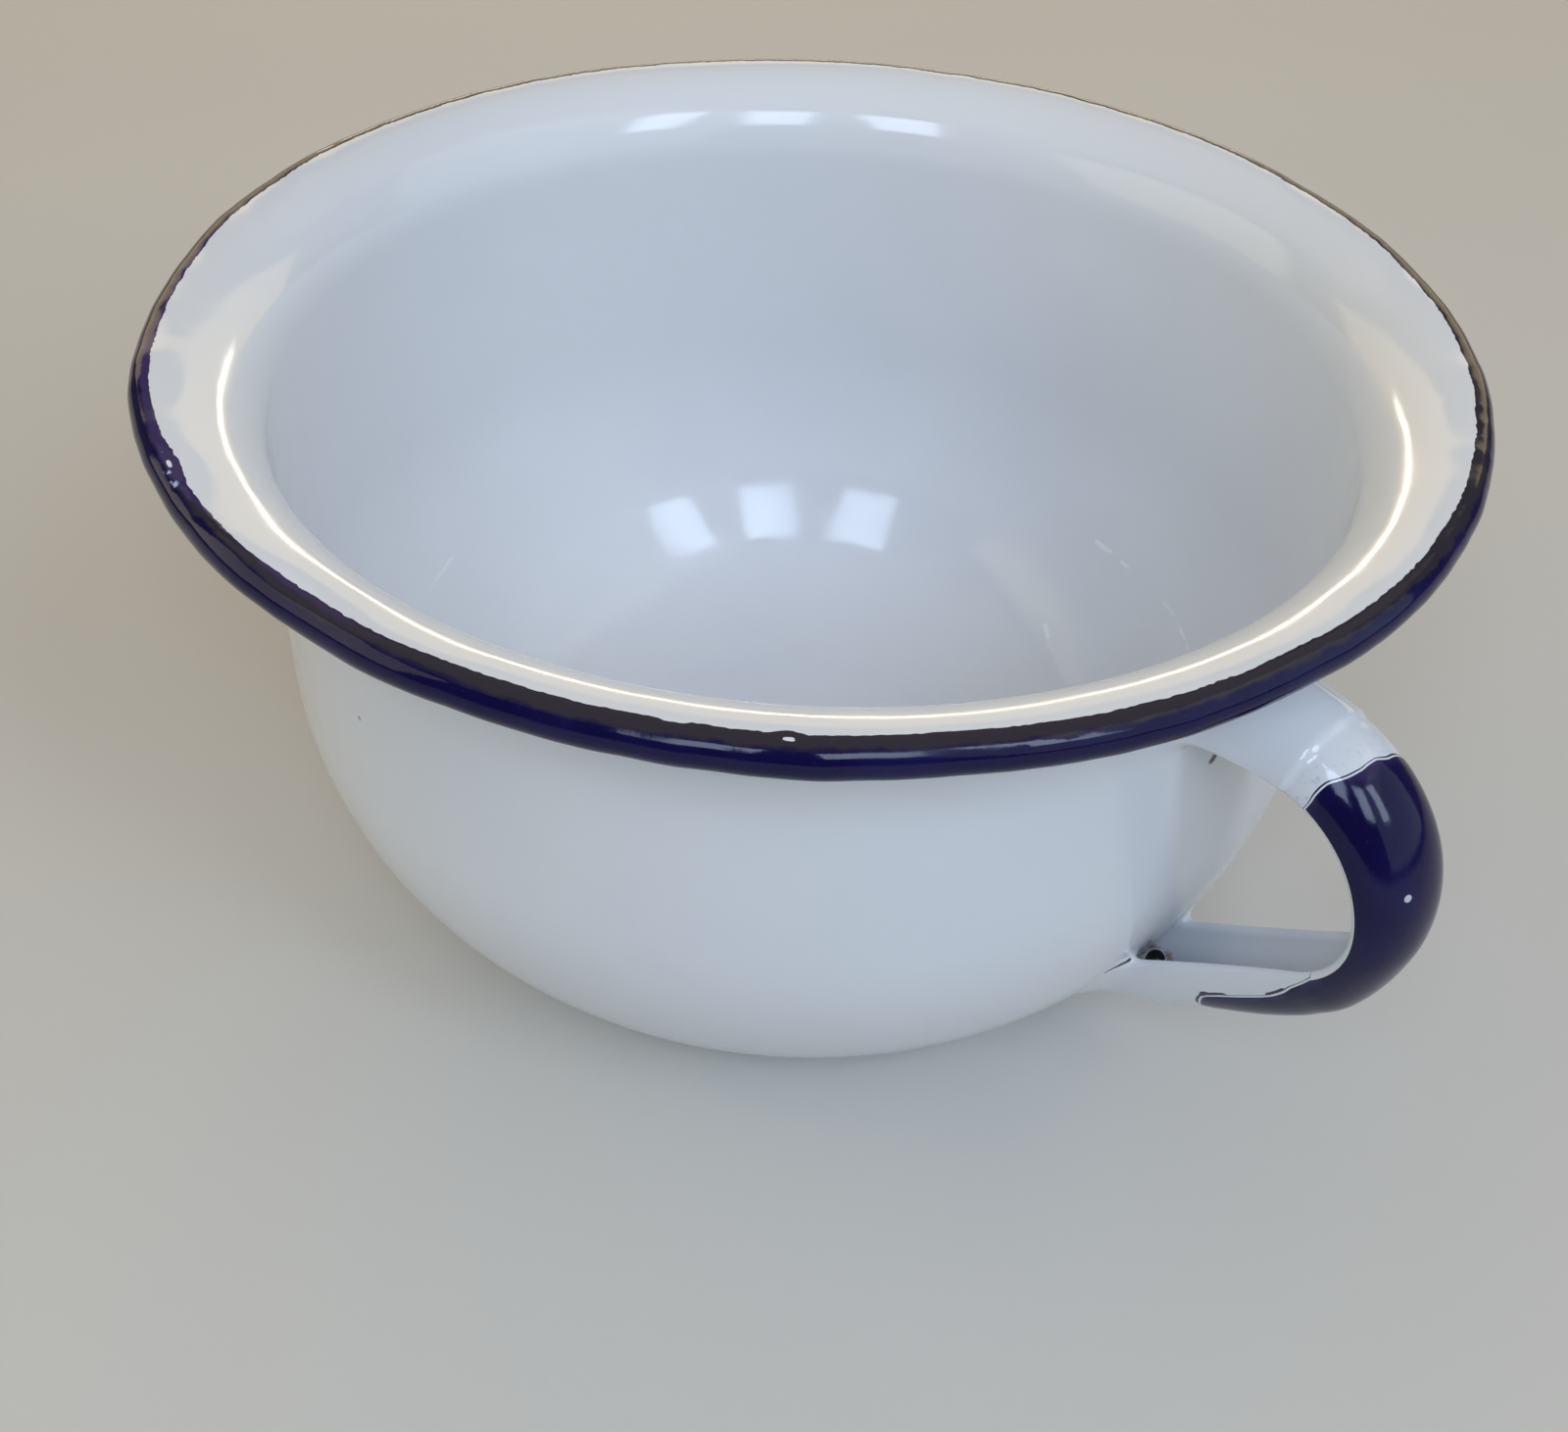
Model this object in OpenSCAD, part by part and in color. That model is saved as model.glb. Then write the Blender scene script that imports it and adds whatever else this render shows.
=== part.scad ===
// Enamelled steel chamber pot: a deep-drawn bowl with a wide turned-out lip and a rolled rim,
// and a pressed strap handle welded to the wall before the whole pot is enamelled.
// Millimetres. The origin is the middle of the base on the floor, +Z is up and the handle is along +X.

/* [Bowl] */
// Width over the rolled rim and its blue enamel
rim_d = 238; // [226:1:250]
// Height from the floor to the top of the lip
height = 126; // [118:1:136]
// How far the rim stands out past the straight upper wall
overhang = 18; // [16:0.5:20]
// Height at which the belly meets the straight wall
belly_z = 64; // [58:1:70]
// Width of the flat base
base_d = 104; // [96:1:112]
// Radius between the belly and the flat base
base_edge_r = 20; // [14:1:26]

/* [Rim] */
// Thickness of the rolled rim over its enamel
bead_d = 6.6; // [6:0.2:7.2]
// Flat between the lip's curve and the roll
lip_flat = 0.4; // [0.2:0.1:1.6]
// How far the roll is turned round from the top of the lip, in degrees
roll_turn = 255; // [220:5:270]

/* [Sheet and enamel] */
// Thickness of the bowl's steel
sheet = 0.9; // [0.8:0.1:1.1]
// Thickness of one coat of enamel
coat = 0.35; // [0.25:0.05:0.45]

/* [Handle] */
// Width of the strap over its enamel
strap_w = 18; // [16:0.5:18]
// Depth of the strap's trough over its enamel
strap_depth = 9; // [7.5:0.5:9]
// Thickness of the strap's steel
strap_sheet = 1; // [0.8:0.1:1.2]
// How far the upper arm's edges lie below the top of the lip
arm_drop = 27.5; // [24:0.5:30]
// How far the strap's edges stand out from the wall
loop_out = 32.5; // [29:0.5:36]
// Radius of the loop, measured at the strap's edges
loop_r = 20.5; // [18:0.5:22]
// Radius of the flared upper arm where it meets the wall
flare_r = 13; // [11:0.5:14]
// Height at which the back of the lower arm meets the belly
low_back_z = 19.5; // [17:0.5:22]
// Where the blue grip begins on the loop, in degrees above the level
grip_top = 65; // [50:1:72]
// How far the blue grip runs down the lower arm
grip_tail = 10; // [4:1:16]

/* [Handle feet] */
// How far a foot spreads on the bowl at each side of the strap
foot_side = 6; // [5.5:0.5:8]
// How far a foot spreads on the bowl above and below the strap
foot_over = 3; // [2:0.5:4]
// Radius of the feet's corners
foot_corner_r = 4; // [2:0.5:5]
// Diameter of the drain hole in the floor of the lower arm
drain_d = 4.4; // [3:0.2:5.4]
// Distance of the drain hole from the belly, along the floor of the lower arm
drain_gap = 21; // [18:0.5:26]
// Diameter of a weld nugget
weld_d = 3; // [2.4:0.2:3.4]
// Distance of a weld nugget from the foot's end
weld_inset = 2.8; // [2.4:0.1:3.2]

/* [Hidden] */
$fn = 96;
big = 2 * rim_d;
wall_t = sheet + 2 * coat;
body_r = rim_d / 2 - overhang;
bead_r = bead_d / 2;
bead_x = rim_d / 2 - bead_r;
bead_z = height - bead_r;
lip_x = bead_x - lip_flat;
lip_r = lip_x - body_r;
lip_z = height - wall_t - lip_r;

// The belly is the arc that touches both the straight wall and the round edge of the base
base_flat_r = base_d / 2;
base_in = body_r - base_flat_r;
belly_rise = belly_z - base_edge_r;
belly_r = (pow(base_in, 2) + pow(belly_rise, 2) - pow(base_edge_r, 2)) / (2 * (base_in - base_edge_r));
belly_x = body_r - belly_r;
belly_end = atan2(base_edge_r - belly_z, base_flat_r - belly_x);

// The strap's section is an arc of this radius about this distance from the loop's centre
strap_t = strap_sheet + 2 * coat;
section_r = (strap_depth * strap_depth + strap_w * strap_w / 4) / (2 * strap_depth);
section_x = loop_r + strap_depth - section_r;

// The loop's centre, and the angle at which the lower arm leaves it so that its back reaches the belly
arm_z = height - arm_drop;
loop_x = body_r + loop_out - loop_r;
loop_z = arm_z - loop_r;
back_land = [wall_at(low_back_z) - loop_x, low_back_z - loop_z];
loop_end = atan2(back_land.y, back_land.x) + acos((loop_r + strap_depth) / norm(back_land));
belly_to_loop = [loop_x - belly_x, loop_z - belly_z];

// The arms run on into the bowl by the strap's depth and are then trimmed
upper_run = loop_x - body_r;
upper_len = upper_run + strap_depth;
flare_end_r = section_r + (flare_r - section_r) * upper_len / upper_run;
lower_len = arm_run(strap_depth) + strap_depth;
drain_along = arm_run(strap_depth) - drain_gap;

// The lower arm is a hair smaller than the loop and laps into it
joint_step = coat / 20;
joint_lap = strap_sheet / 2;

// The feet frame the strap where it meets the bowl
flare_top_z = arm_z + section_x - loop_r + flare_r;
top_foot_z = (arm_z + flare_top_z) / 2;
top_foot_w = 2 * (flare_r + foot_side);
top_foot_h = flare_top_z - arm_z + 2 * foot_over;
low_edge_z = arm_land_z(0);
low_foot_z = (low_edge_z + low_back_z) / 2;
low_foot_w = strap_w + 2 * foot_side;
low_foot_h = low_edge_z - low_back_z + 2 * foot_over;
weld_depth = sheet / 2;

// Unit vector at an angle
function toward(a) = [cos(a), sin(a)];

// Corners of a slice of pie that holds any arc of radius r between two angles under 180 degrees apart
function slice(r, from, to) = [
    [0, 0],
    3 * r * toward(from),
    3 * r * toward((from + to) / 2),
    3 * r * toward(to)
];

// How far the outer surface faces down at height z, in degrees
function wall_lean(z) =
    z < belly_z ? asin((belly_z - z) / belly_r)
    : z < lip_z ? 0
    : asin((z - lip_z) / lip_r);

// Radius of the outer surface at height z
function wall_at(z) =
    z < lip_z ? belly_x + belly_r * cos(wall_lean(z))
    : lip_x - lip_r * cos(wall_lean(z));

// Length of the lower arm from the loop to the belly, at a depth below the strap's edges
function arm_run(d) =
    -belly_to_loop * toward(loop_end - 90)
    - sqrt(belly_r * belly_r - pow(belly_to_loop * toward(loop_end) + loop_r + d, 2));

// Height at which the lower arm meets the belly, at a depth below the strap's edges
function arm_land_z(d) = loop_z + (loop_r + d) * sin(loop_end) - arm_run(d) * cos(loop_end);

// Slice of a disc between two angles
module pie(at, r, from, to) {
    translate(at)
        intersection() {
            circle(r = r);
            polygon(slice(r, from, to));
        }
}

// Half profile of everything inside the outer surface at depth d, up to the top of the lip
// Its stretches overlap, so that they always meet
module bowl_profile(d) {
    intersection() {
        square([bead_x, height]);
        union() {
            translate([0, d])
                square([base_flat_r, height]);
            translate([base_flat_r, base_edge_r])
                circle(r = base_edge_r - d);
            pie([belly_x, belly_z], belly_r - d, belly_end, -belly_end / 2);
            translate([0, belly_z])
                square([body_r - d, height]);
            difference() {
                translate([0, lip_z])
                    square([bead_x, height]);
                translate([lip_x, lip_z]) {
                    circle(r = lip_r + d);
                    square([lip_flat, lip_r + d]);
                }
            }
        }
    }
}

// Half profile of the layer between depths a and b, counted in from the outer enamel
module bowl_layer(a, b) {
    difference() {
        bowl_profile(a);
        bowl_profile(b);
    }
}

// Half profile of the enamel under the flat base
module base_coat() {
    square([base_flat_r, coat]);
}

// Part of the roll between two radii, turned out and under from the top of the lip
module roll_layer(outer, inner) {
    translate([bead_x, bead_z])
        difference() {
            circle(r = outer);
            circle(r = inner);
            polygon(slice(outer, 90, 450 - roll_turn));
        }
}

// Everything inside the bowl's outer surface at depth d, as a solid to trim the handle against
module bowl_body(d) {
    rotate_extrude()
        bowl_profile(d);
}

// Rounded rectangle about the origin
module plate_outline(w, h) {
    square([w, h - 2 * foot_corner_r], center = true);
    square([w - 2 * foot_corner_r, h], center = true);
    for (x = [-1, 1], y = [-1, 1])
        translate([x * (w / 2 - foot_corner_r), y * (h / 2 - foot_corner_r)])
            circle(r = foot_corner_r);
}

// Column along +X with a foot's outline, through the wall on the handle's side
module foot_column(z, w, h) {
    translate([belly_x, 0, z])
        rotate([90, 0, 90])
            linear_extrude(belly_r + loop_out)
                plate_outline(w, h);
}

// A foot that lies on the bowl: the layer between depths a and b under its outline
module foot_plate(z, w, h, a, b) {
    intersection() {
        rotate_extrude()
            bowl_layer(a, b);
        foot_column(z, w, h);
    }
}

module top_foot(a, b) {
    foot_plate(top_foot_z, top_foot_w, top_foot_h, a, b);
}

module low_foot(a, b) {
    foot_plate(low_foot_z, low_foot_w, low_foot_h, a, b);
}

// Space of the loop: X is out from the loop's centre, Y is round the loop and Z is across the strap
module loop_space(turn) {
    translate([loop_x, 0, loop_z])
        rotate([90, 0, 0])
            rotate([0, 0, turn])
                children();
}

// Outline of the strap across its length, made smaller all round by d
module strap_section(d) {
    intersection() {
        translate([section_x, 0])
            difference() {
                circle(r = section_r - d);
                circle(r = section_r - strap_t + d);
            }
        translate([loop_r + d, -strap_w])
            square([2 * strap_depth, 2 * strap_w]);
    }
}

// Round solid under the flared upper arm, made smaller by d
module flare_cone(d) {
    translate([section_x, 0, 0])
        rotate([-90, 0, 0])
            cylinder(h = upper_len, r1 = section_r - d, r2 = flare_end_r - d);
}

// Flared upper arm, made smaller all round by d
module upper_arm(d) {
    loop_space(90)
        intersection() {
            difference() {
                flare_cone(d);
                flare_cone(strap_t - d);
            }
            translate([loop_r + d, 0, -big / 2])
                cube([big, big, big]);
        }
}

// Everything on one side of the plane through the loop's axis at an angle: side 1 is above it, -1 below
module loop_side(turn, side) {
    loop_space(turn)
        translate([0, side * big / 2, 0])
            cube(big, center = true);
}

// Part of the loop between two angles under 180 degrees apart
module loop_arc(from, to) {
    intersection() {
        loop_space(180)
            rotate_extrude()
                children();
        loop_side(from, 1);
        loop_side(to, -1);
    }
}

// Length of the lower arm between two distances from the loop, made smaller all round by d
module lower_arm(from, to, d) {
    loop_space(loop_end)
        translate([0, -from, 0])
            rotate([90, 0, 0])
                linear_extrude(to - from)
                    strap_section(d + joint_step);
}

module drain_hole() {
    loop_space(loop_end)
        translate([section_x, -drain_along, 0])
            rotate([0, 90, 0])
                cylinder(h = 2 * section_r, d = drain_d);
}

// Weld nugget through the bowl's steel and a foot, at height z and a distance y from the middle
module weld(y, z) {
    lean = wall_lean(z);
    steel = wall_at(z) - coat * cos(lean);
    rotate([0, 0, asin(y / steel)])
        translate([steel, 0, z])
            rotate([0, 90 + lean, 0])
                cylinder(h = 2 * weld_depth, d = weld_d, center = true);
}

module top_weld(side) {
    weld(side * (top_foot_w / 2 - weld_inset), top_foot_z);
}

module low_weld(side) {
    weld(side * (low_foot_w / 2 - weld_inset), low_foot_z);
}

module all_welds() {
    for (side = [-1, 1]) {
        top_weld(side);
        low_weld(side);
    }
}

// The whole strap, made smaller all round by d, before its ends are trimmed
module strap(d) {
    upper_arm(d);
    loop_arc(loop_end, 90)
        strap_section(d);
    lower_arm(-joint_lap, lower_len, d);
}

// Enamel around the strap's section
module strap_coat_section() {
    difference() {
        strap_section(0);
        strap_section(coat);
    }
}

// Pressed bowl with its lip and rolled rim
module bowl_steel() {
    color("DimGray")
        difference() {
            rotate_extrude() {
                bowl_layer(coat, coat + sheet);
                roll_layer(bead_r - coat, bead_r - coat - sheet);
            }
            all_welds();
        }
}

// White enamel inside, up to the blue rim
module inside_enamel() {
    color("White")
        rotate_extrude()
            bowl_layer(coat + sheet, wall_t);
}

// White enamel outside, left out under the handle's feet
module outside_enamel() {
    color("WhiteSmoke")
        difference() {
            rotate_extrude()
                difference() {
                    bowl_layer(0, coat);
                    base_coat();
                }
            foot_column(top_foot_z, top_foot_w, top_foot_h);
            foot_column(low_foot_z, low_foot_w, low_foot_h);
        }
}

// White enamel under the flat base
module base_enamel() {
    color("Gainsboro")
        rotate_extrude()
            base_coat();
}

// Blue enamel on the rolled rim
module rim_enamel() {
    color("MidnightBlue")
        rotate_extrude()
            roll_layer(bead_r, bead_r - coat);
}

// Pressed strap with its two feet
module handle_steel() {
    color("SlateGray")
        difference() {
            union() {
                difference() {
                    strap(coat);
                    bowl_body(coat - strap_sheet / 2);
                }
                top_foot(coat - strap_sheet, coat);
                low_foot(coat - strap_sheet, coat);
            }
            drain_hole();
            all_welds();
        }
}

// White enamel of the upper arm and its foot
module handle_top_enamel() {
    color("Snow") {
        difference() {
            difference() {
                upper_arm(0);
                upper_arm(coat);
            }
            bowl_body(coat - strap_sheet);
        }
        loop_arc(grip_top, 90)
            strap_coat_section();
        difference() {
            top_foot(-strap_sheet, coat - strap_sheet);
            upper_arm(coat);
        }
    }
}

// Blue enamel of the grip
module grip_enamel() {
    color("Navy")
        difference() {
            union() {
                loop_arc(loop_end, grip_top)
                    strap_section(0);
                lower_arm(-joint_lap, grip_tail, 0);
            }
            strap(coat);
        }
}

// White enamel of the lower arm and its foot
module handle_foot_enamel() {
    color("Ivory")
        difference() {
            union() {
                difference() {
                    lower_arm(grip_tail, lower_len, 0);
                    lower_arm(0, lower_len, coat);
                    bowl_body(coat - strap_sheet);
                }
                difference() {
                    low_foot(-strap_sheet, coat - strap_sheet);
                    lower_arm(0, lower_len, coat);
                }
            }
            drain_hole();
        }
}

module top_weld_left() {
    color("Gray")
        top_weld(1);
}

module top_weld_right() {
    color("Gray")
        top_weld(-1);
}

module low_weld_left() {
    color("Gray")
        low_weld(1);
}

module low_weld_right() {
    color("Gray")
        low_weld(-1);
}

bowl_steel();
inside_enamel();
outside_enamel();
base_enamel();
rim_enamel();
handle_steel();
handle_top_enamel();
grip_enamel();
handle_foot_enamel();
top_weld_left();
top_weld_right();
low_weld_left();
low_weld_right();
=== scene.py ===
# %% [markdown]
# # An enamelled steel chamber pot
#
# The real pot is a bowl pressed from thin steel sheet. Its rim is rolled outwards into a bead, and a
# strap handle bent to a trough is welded to its side. Glass enamel is then fired over everything:
# white on the bowl and on the ends of the handle, dark blue on the bead and on the grip. The CAD
# model holds each of those layers as a solid of its own. Here every layer gets its finished shape,
# with the dents, waves and wear of a used pot, and a surface that shines like fired enamel.

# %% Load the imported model
import math

import bmesh
import bpy
import numpy as np
from mathutils import Matrix, Vector
from mathutils.kdtree import KDTree


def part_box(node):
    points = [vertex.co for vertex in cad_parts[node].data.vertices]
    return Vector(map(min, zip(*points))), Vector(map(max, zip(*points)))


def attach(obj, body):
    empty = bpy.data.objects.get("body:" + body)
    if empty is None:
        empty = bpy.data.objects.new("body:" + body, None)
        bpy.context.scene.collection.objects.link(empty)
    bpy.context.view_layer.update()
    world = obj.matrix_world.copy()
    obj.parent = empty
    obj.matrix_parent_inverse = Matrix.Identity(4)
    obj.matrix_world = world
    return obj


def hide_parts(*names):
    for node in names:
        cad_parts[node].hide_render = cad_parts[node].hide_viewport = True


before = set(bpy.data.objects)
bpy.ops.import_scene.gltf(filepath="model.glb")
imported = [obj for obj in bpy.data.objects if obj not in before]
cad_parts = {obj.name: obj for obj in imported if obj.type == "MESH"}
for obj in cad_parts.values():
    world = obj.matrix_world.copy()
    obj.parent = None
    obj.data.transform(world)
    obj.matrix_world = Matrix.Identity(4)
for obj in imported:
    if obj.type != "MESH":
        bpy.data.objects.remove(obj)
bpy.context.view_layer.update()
MM = 0.001
print("CAD nodes:", ", ".join(sorted(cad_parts)))

# %% [markdown]
# ## Nodes written as sums
#
# Materials and Geometry Nodes are both trees of small boxes. Written one link at a time they are hard
# to read, so a socket is wrapped in a small class here. Adding or multiplying two wrapped sockets
# puts the Math node in for us, and one method makes any other kind of node. The same class serves
# the shapes and the finishes, because a Math node is the same in both kinds of tree.

# %% A socket that can be added and multiplied
class Field:
    """One output socket of a node tree. Sums on it add Math nodes to the same tree."""

    def __init__(self, nodes, socket):
        self.nodes = nodes
        self.socket = socket

    def out(self, name):
        """Another output of the node that this socket belongs to."""
        return Field(self.nodes, self.socket.node.outputs[name])

    def math(self, operation, *terms):
        return self.nodes.node("ShaderNodeMath", {"operation": operation}, dict(enumerate(terms)))

    def __add__(self, other):
        return self.math("ADD", self, other)

    def __radd__(self, other):
        return self.math("ADD", other, self)

    def __sub__(self, other):
        return self.math("SUBTRACT", self, other)

    def __rsub__(self, other):
        return self.math("SUBTRACT", other, self)

    def __mul__(self, other):
        return self.math("MULTIPLY", self, other)

    def __rmul__(self, other):
        return self.math("MULTIPLY", other, self)

    def __truediv__(self, other):
        return self.math("DIVIDE", self, other)

    def __rtruediv__(self, other):
        return self.math("DIVIDE", other, self)

    def __mod__(self, other):
        return self.math("MODULO", self, other)

    def __gt__(self, other):
        return self.math("GREATER_THAN", self, other)

    def __lt__(self, other):
        return self.math("LESS_THAN", self, other)


class Nodes:
    """Makes the nodes of one tree."""

    def __init__(self, tree):
        self.tree = tree

    def node(self, kind, settings=None, sockets=None, out=0):
        """A node of any kind: its settings are set first, then its sockets are given values or links."""
        made = self.tree.nodes.new(kind)
        for name, value in (settings or {}).items():
            setattr(made, name, value)
        for name, value in (sockets or {}).items():
            if isinstance(value, Field):
                self.tree.links.new(value.socket, made.inputs[name])
            else:
                made.inputs[name].default_value = value
        return Field(self, made.outputs[out]) if made.outputs else made

    def step(self, value, low, high, start=0.0, end=1.0):
        """Goes smoothly from start to end while the value goes from low to high."""
        return self.node(
            "ShaderNodeMapRange",
            {"interpolation_type": "SMOOTHSTEP"},
            {"Value": value, "From Min": low, "From Max": high, "To Min": start, "To Max": end},
        )

    def noise(self, vector, scale, detail=2.0, roughness=0.5, out="Fac"):
        sockets = {"Vector": vector, "Scale": scale, "Detail": detail, "Roughness": roughness}
        return self.node("ShaderNodeTexNoise", {"noise_dimensions": "3D"}, sockets, out)

    def mix(self, share, first, second):
        """One colour laid over another."""
        return self.node("ShaderNodeMix", {"data_type": "RGBA"}, {0: share, 6: first, 7: second}, 2)

    def vector(self, operation, first, second, out=0):
        return self.node("ShaderNodeVectorMath", {"operation": operation}, {0: first, 1: second}, out)


class Finish(Nodes):
    """A material with one Principled shader."""

    def __init__(self, name):
        self.material = bpy.data.materials.new(name)
        self.material.use_nodes = True
        super().__init__(self.material.node_tree)
        self.tree.nodes.clear()
        self.place = self.node("ShaderNodeTexCoord", out="Object")

    def surface(self, sockets):
        shader = self.node("ShaderNodeBsdfPrincipled", None, sockets)
        self.node("ShaderNodeOutputMaterial", None, {"Surface": shader})
        count = len(self.tree.nodes)
        print(f"finish {self.material.name}: {count} nodes")
        return self.material


# %% [markdown]
# ## The sizes of the pot
#
# The bead and the base are measured on the CAD model, so this script follows it. The bowl's section
# is a chain of arcs that meet smoothly: a flat base, a rounded base edge, a belly, a straight wall
# and a lip that swings out to the bead. The belly's radius isn't free. It is the one that touches
# both the wall and the base edge, and comes out of the other sizes.

# %% Sizes, in millimetres
rim_low, rim_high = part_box("rim_enamel")
base_low, base_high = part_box("base_enamel")
rim_r = rim_high.x / MM
height = rim_high.z / MM
bead_r = (rim_high.z - rim_low.z) / MM / 2
base_r = base_high.x / MM
coat = (base_high.z - base_low.z) / MM
# The box of a node doesn't give these: the sheet's thickness, how far the lip reaches past the wall,
# the height where the belly begins, the radius of the base edge, the level piece of the lip before
# the bead, and the angle in degrees at which the bead's roll ends.
sheet = 0.9
overhang = 18.0
belly_z = 64.0
edge_r = 20.0
lip_flat = 0.4
roll_end = -165.0

wall_t = sheet + 2 * coat
body_r = rim_r - overhang
bead_x = rim_r - bead_r
bead_z = height - bead_r
lip_x = bead_x - lip_flat
lip_r = lip_x - body_r
lip_z = height - wall_t - lip_r
belly_out, belly_up = body_r - base_r, belly_z - edge_r
belly_r = (belly_out**2 + belly_up**2 - edge_r**2) / (2 * (belly_out - edge_r))
belly_x = body_r - belly_r
belly_end = math.degrees(math.atan2(edge_r - belly_z, base_r - belly_x))
print(f"rim radius {rim_r:.1f}, height {height:.1f}, belly radius {belly_r:.1f}, wall {wall_t:.2f} mm")

# %% [markdown]
# ## White enamel
#
# Enamel is a layer of glass, so it is smooth and glossy, but never perfectly flat: it flows while it
# is fired and freezes with a slight swell that makes reflections waver. Its white is cool and very
# slightly uneven. Years of use add a few dark pin-sized specks, some fine pale scratches and a little
# rust where water sat in the drain hole. All of that is painted with textures on Object coordinates,
# which are metres on the pot itself, so each mark has its real size.

# %% Marks on the white enamel
WHITE = (0.745, 0.768, 0.81, 1.0)
WHITE_DEEP = (0.695, 0.722, 0.77, 1.0)
SPECK = (0.12, 0.11, 0.10, 1.0)
PALE = (0.90, 0.92, 0.95, 1.0)
INK = (0.035, 0.032, 0.07, 1.0)
STAIN = (0.33, 0.14, 0.04, 1.0)
# Painted shade: the dark of the shaded slits between the handle's ends and the bowl.
PAINTED_SHADE = (0.03, 0.022, 0.018, 1.0)
SPRAY = (0.25, 0.27, 0.36, 1.0)
# Each mark runs from one point to another and has a half width, all in millimetres.
scratches = [
    ((-83.2, -37.6, 32.1), (-87.6, -28.5, 33.9), 0.55),
    ((3.0, 92.8, 35.0), (7.6, 92.2, 34.8), 0.9),
    ((11.4, 91.8, 34.6), (15.0, 91.2, 34.3), 0.7),
    ((27.6, 88.2, 34.1), (31.6, 86.6, 33.6), 0.5),
    ((34.0, 85.3, 33.2), (41.0, 81.4, 31.8), 0.55),
    ((2.0, 79.2, 16.2), (8.0, 75.6, 13.2), 0.8),
]
# Painted shadows: dark marks where the strap's foot and its upper arm leave shaded slits against the bowl.
painted_shadows = [
    ((96.0, -12.4, 40.1), (97.8, -8.4, 42.2), 0.45),
    ((101.0, -2.5, 90.7), (100.9, -3.2, 89.7), 1.2),
]
# Where the dark line beside the grip's blue is thick.
ink_blots = [
    ((111.5, -5.6, 41.2), (112.6, -6.7, 44.8), 1.7),
    ((112.6, -6.7, 44.8), (115.6, -6.8, 47.8), 1.7),
    ((123.3, -7.2, 55.8), (126.0, -7.3, 58.3), 1.4),
]
# That line, in millimetres: the white left between it and the blue on the upper and on the lower arm,
# its least width, how much its width varies and how much a blot adds.
top_clear, foot_clear = 0.28, 0.40
line_least, line_varies, blot_adds = 0.14, 0.24, 0.45
print(len(scratches), "scratches,", len(painted_shadows), "crevices,", len(ink_blots), "blots")


def mark_mask(finish, start, end, half_width):
    """1 on a short straight mark, fading to 0 at its sides and ends."""
    middle = (Vector(start) + Vector(end)) / 2 * MM
    along = (Vector(end) - Vector(start)).normalized()
    half_length = (Vector(end) - Vector(start)).length / 2 * MM
    away = finish.vector("SUBTRACT", finish.place, middle)
    run = finish.vector("DOT_PRODUCT", away, along, "Value")
    kept = finish.node("ShaderNodeClamp", None, {"Value": run, "Min": -half_length, "Max": half_length})
    line = finish.node("ShaderNodeVectorMath", {"operation": "SCALE"}, {0: along, "Scale": kept})
    gap = finish.vector("DISTANCE", away, line, "Value")
    return finish.step(gap, half_width * 0.3 * MM, half_width * MM, 1.0, 0.0)


def specks(finish, per_metre, size, share):
    """1 on scattered round specks: one cell in so many holds one."""
    sockets = {"Vector": finish.place, "Scale": per_metre}
    cell = finish.node("ShaderNodeTexVoronoi", None, sockets, "Distance")
    chance = finish.node("ShaderNodeSeparateColor", None, {"Color": cell.out("Color")}, "Red")
    return finish.step(cell, size * 0.6, size, 1.0, 0.0) * (chance > 1.0 - share)


def swelling(finish, strength, flow_scale, peel_scale, peel_share):
    """The bump of fired glass: a slow flow with a fine peel on it."""
    flow = finish.noise(finish.place, flow_scale, 1.0)
    peel = finish.noise(finish.place, peel_scale, 2.0)
    sockets = {"Strength": strength, "Distance": 0.6 * MM, "Height": flow + peel * peel_share}
    return finish.node("ShaderNodeBump", None, sockets)


# %% Beside the blue
def beside_the_blue(finish, colour):
    """Lays on what only the handle has: a fine spray of blue, the thin dark line and the drain's rust."""
    gap = finish.node("ShaderNodeAttribute", {"attribute_name": "blue_gap"}, None, "Fac")
    level = finish.node("ShaderNodeSeparateXYZ", None, {"Vector": finish.place}, "Z")
    spray = finish.step(finish.noise(finish.place, 900.0, 3.0, 0.7), 0.52, 0.72)
    spray = spray * finish.step(gap, 5.5, 1.5) * finish.step(gap, 0.0, 0.4)
    spray = spray * finish.step(level, 70.0 * MM, 90.0 * MM)
    colour = finish.mix(spray * 0.35, colour, SPRAY)
    waver = finish.noise(finish.place, 90.0, 1.0)
    clear = finish.step(level, 50.0 * MM, 70.0 * MM, foot_clear, top_clear)
    reach = clear + finish.step(waver, 0.42, 0.66) * line_varies + line_least
    for blot in ink_blots:
        reach = reach + mark_mask(finish, *blot) * blot_adds
    line = finish.step(gap, clear, clear + 0.06) * (gap < reach)
    colour = finish.mix(line, colour, INK)
    stain = finish.node("ShaderNodeAttribute", {"attribute_name": "rust"}, None, "Fac")
    patchy = finish.noise(finish.place, 420.0, 4.0, 0.65)
    return finish.mix(finish.step(stain + patchy, 1.10, 1.40) * 0.75, colour, STAIN)


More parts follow.
